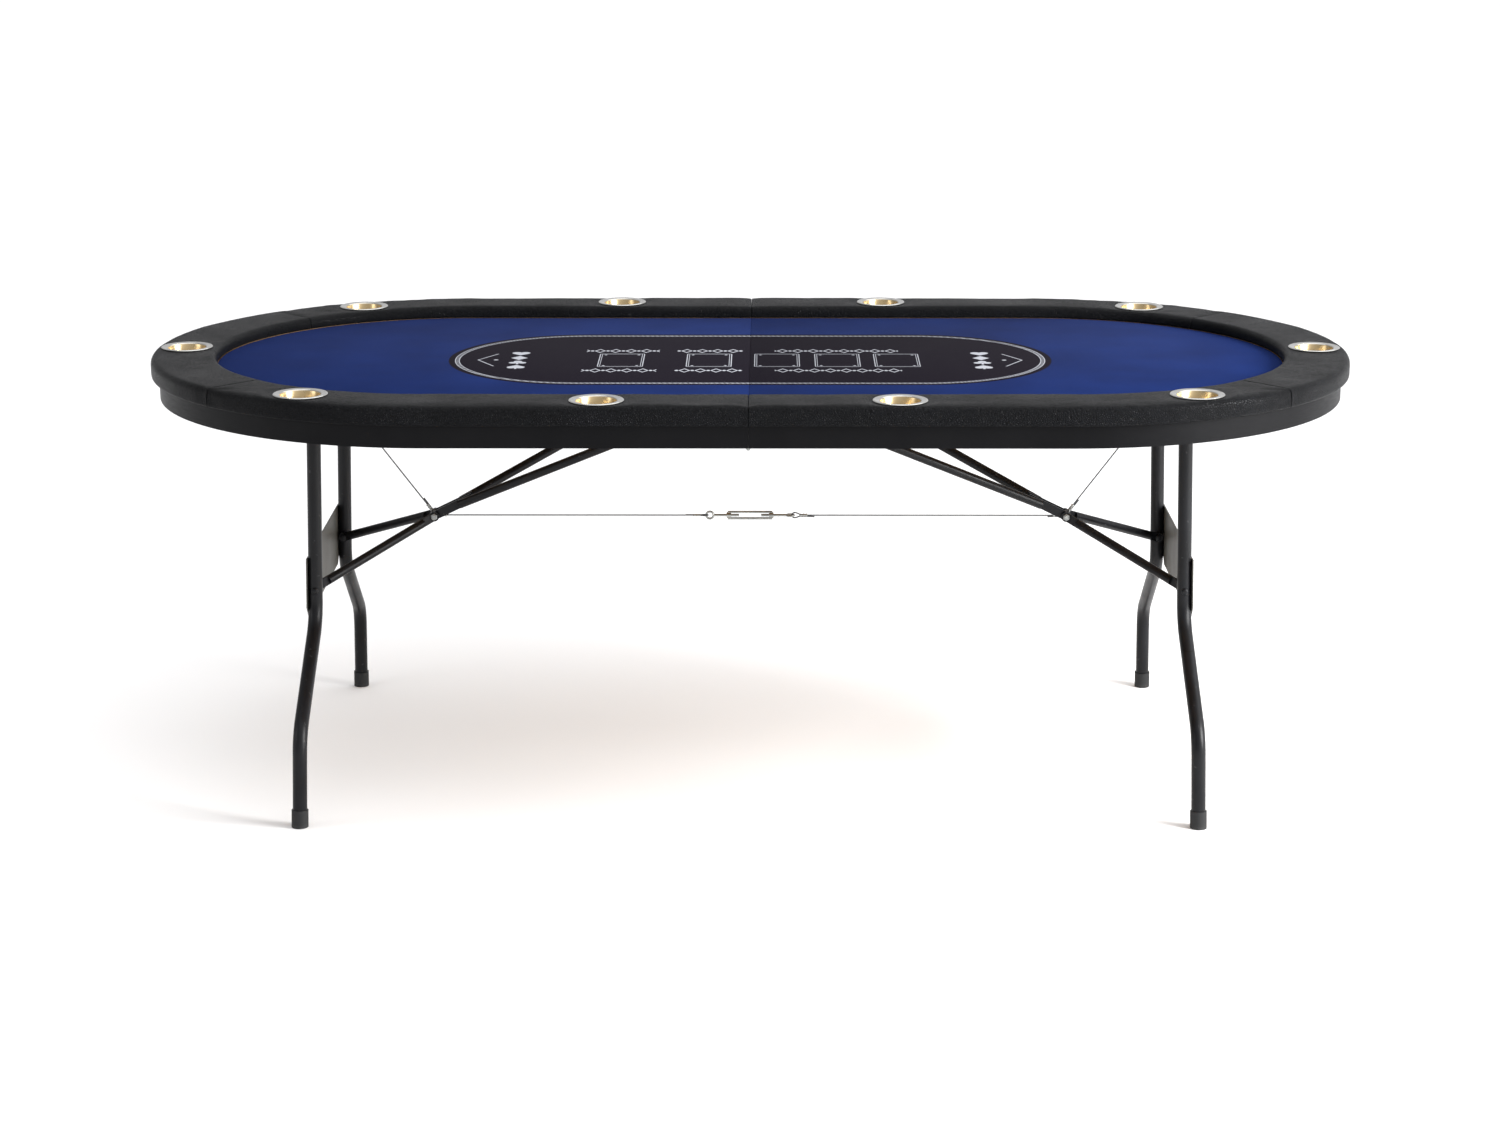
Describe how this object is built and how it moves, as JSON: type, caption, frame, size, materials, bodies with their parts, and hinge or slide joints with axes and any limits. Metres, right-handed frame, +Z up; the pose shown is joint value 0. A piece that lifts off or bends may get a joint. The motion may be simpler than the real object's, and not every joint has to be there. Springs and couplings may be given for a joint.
{
  "type": "folding card table",
  "caption": "Oval folding card table with a padded leather rail, steel cup holders, a cloth playing surface and two braced folding leg frames tied by a turnbuckle cable.",
  "frame": {"origin": "on the floor, below the middle of the fold line", "axes": "+X to the right along the table's length, +Y to the back, +Z up"},
  "size_m": [2.134, 1.067, 0.762],
  "materials": {
    "plywood": "raw birch plywood",
    "felt": "brushed speed cloth",
    "apron_laminate": "satin black laminate",
    "rail_leather": "pebbled leatherette over foam",
    "cup_steel": "polished stainless",
    "leg_paint": "satin black powder coat",
    "gusset_paint": "satin black sheet",
    "foot_rubber": "moulded",
    "zinc_hardware": "zinc plated",
    "wire_rope": "stranded steel"
  },
  "bodies": {
    "left_top": {"left_deck_board": "plywood", "left_felt": "felt", "left_apron": "apron_laminate", "left_fold_battens": "plywood", "left_end_pad": "rail_leather", "left_front_pad": "rail_leather", "left_back_pad": "rail_leather", "left_rail_core": "plywood", "left_cup_holders": "cup_steel", "left_rail_screws": "zinc_hardware", "left_leg_brackets": "leg_paint", "left_brace_brackets": "leg_paint", "left_bracket_screws": "zinc_hardware", "left_hinge_leaves": "zinc_hardware", "hinge_pins": "zinc_hardware"},
    "left_leg": {"left_leg_axle": "leg_paint", "left_front_leg": "leg_paint", "left_back_leg": "leg_paint", "left_leg_gusset": "gusset_paint", "left_leg_bolts": "leg_paint", "left_foot_caps": "foot_rubber"},
    "left_upper_brace": {"left_upper_braces": "leg_paint", "left_knuckle_bolt": "zinc_hardware"},
    "left_lower_brace": {"left_lower_braces": "leg_paint", "left_knuckle_nuts": "leg_paint"},
    "left_stay": {"left_stay_cable": "wire_rope"},
    "right_top": {"right_deck_board": "plywood", "right_felt": "felt", "right_apron": "apron_laminate", "right_fold_battens": "plywood", "right_end_pad": "rail_leather", "right_front_pad": "rail_leather", "right_back_pad": "rail_leather", "right_rail_core": "plywood", "right_cup_holders": "cup_steel", "right_rail_screws": "zinc_hardware", "right_leg_brackets": "leg_paint", "right_brace_brackets": "leg_paint", "right_bracket_screws": "zinc_hardware", "right_hinge_leaves": "zinc_hardware"},
    "right_leg": {"right_leg_axle": "leg_paint", "right_front_leg": "leg_paint", "right_back_leg": "leg_paint", "right_leg_gusset": "gusset_paint", "right_leg_bolts": "leg_paint", "right_foot_caps": "foot_rubber"},
    "right_upper_brace": {"right_upper_braces": "leg_paint", "right_knuckle_bolt": "zinc_hardware"},
    "right_lower_brace": {"right_lower_braces": "leg_paint", "right_knuckle_nuts": "leg_paint"},
    "right_stay": {"right_stay_cable": "wire_rope"},
    "tie_end": {"tie_loop": "wire_rope"},
    "tie_line": {"tie_cable_left": "wire_rope", "tie_eye_left": "zinc_hardware", "tie_eye_right": "zinc_hardware", "tie_cable_right": "wire_rope"},
    "turnbuckle": {"turnbuckle_body": "zinc_hardware"}
  },
  "joints": [
    {"name": "top_fold", "type": "hinge", "parent": "left_top", "child": "right_top", "pos_m": [0, 0, 0.684], "axis": [0, 1, 0], "range_deg": [0, 90]},
    {"name": "left_leg_fold", "type": "hinge", "parent": "left_top", "child": "left_leg", "pos_m": [-0.758, 0, 0.702], "axis": [0, -1, 0], "range_deg": [0, 91.3]},
    {"name": "left_upper_brace_swing", "type": "hinge", "parent": "left_top", "child": "left_upper_brace", "pos_m": [-0.05857, 0, 0.702], "axis": [0, -1, 0], "range_deg": [-27, 0.5]},
    {"name": "left_lower_brace_swing", "type": "hinge", "parent": "left_leg", "child": "left_lower_brace", "pos_m": [-0.76568, 0, 0.36339], "axis": [0, -1, 0], "range_deg": [-0.5, 65]},
    {"name": "left_stay_swing", "type": "hinge", "parent": "left_leg", "child": "left_stay", "pos_m": [-0.75032, 0.003, 0.68782], "axis": [0, -1, 0], "range_deg": [-39, 0.5]},
    {"name": "right_leg_fold", "type": "hinge", "parent": "right_top", "child": "right_leg", "pos_m": [0.758, 0, 0.702], "axis": [0, 1, 0], "range_deg": [0, 91.3], "deforming": ["tie_cable_right"]},
    {"name": "right_upper_brace_swing", "type": "hinge", "parent": "right_top", "child": "right_upper_brace", "pos_m": [0.05857, 0, 0.702], "axis": [0, 1, 0], "range_deg": [-27, 0.5]},
    {"name": "right_lower_brace_swing", "type": "hinge", "parent": "right_leg", "child": "right_lower_brace", "pos_m": [0.76568, 0, 0.36339], "axis": [0, 1, 0], "range_deg": [-0.5, 65]},
    {"name": "right_stay_swing", "type": "hinge", "parent": "right_leg", "child": "right_stay", "pos_m": [0.75032, 0.003, 0.68782], "axis": [0, 1, 0], "range_deg": [-39, 0.5]},
    {"name": "tie_end_swing", "type": "hinge", "parent": "left_upper_brace", "child": "tie_end", "pos_m": [-0.573, -0.003, 0.451], "axis": [0, -1, 0], "range_deg": [-0.5, 27]},
    {"name": "tie_line_swing", "type": "hinge", "parent": "tie_end", "child": "tie_line", "pos_m": [-0.55, -0.003, 0.451], "axis": [0, 1, 0], "range_deg": [-0.5, 90.5]},
    {"name": "turnbuckle_turn", "type": "hinge", "parent": "tie_line", "child": "turnbuckle", "pos_m": [0, -0.003, 0.451], "axis": [1, 0, 0], "continuous": true}
  ],
  "couplings": [
    {"joint": "left_upper_brace_swing", "follows": "left_leg_fold", "ratio": -0.28487},
    {"joint": "left_lower_brace_swing", "follows": "left_leg_fold", "ratio": 0.70371},
    {"joint": "left_stay_swing", "follows": "left_leg_fold", "ratio": -0.41757},
    {"joint": "right_upper_brace_swing", "follows": "right_leg_fold", "ratio": -0.28487},
    {"joint": "right_lower_brace_swing", "follows": "right_leg_fold", "ratio": 0.70371},
    {"joint": "right_stay_swing", "follows": "right_leg_fold", "ratio": -0.41757},
    {"joint": "tie_end_swing", "follows": "left_leg_fold", "ratio": 0.28487},
    {"joint": "tie_line_swing", "follows": "top_fold", "ratio": 1}
  ]
}
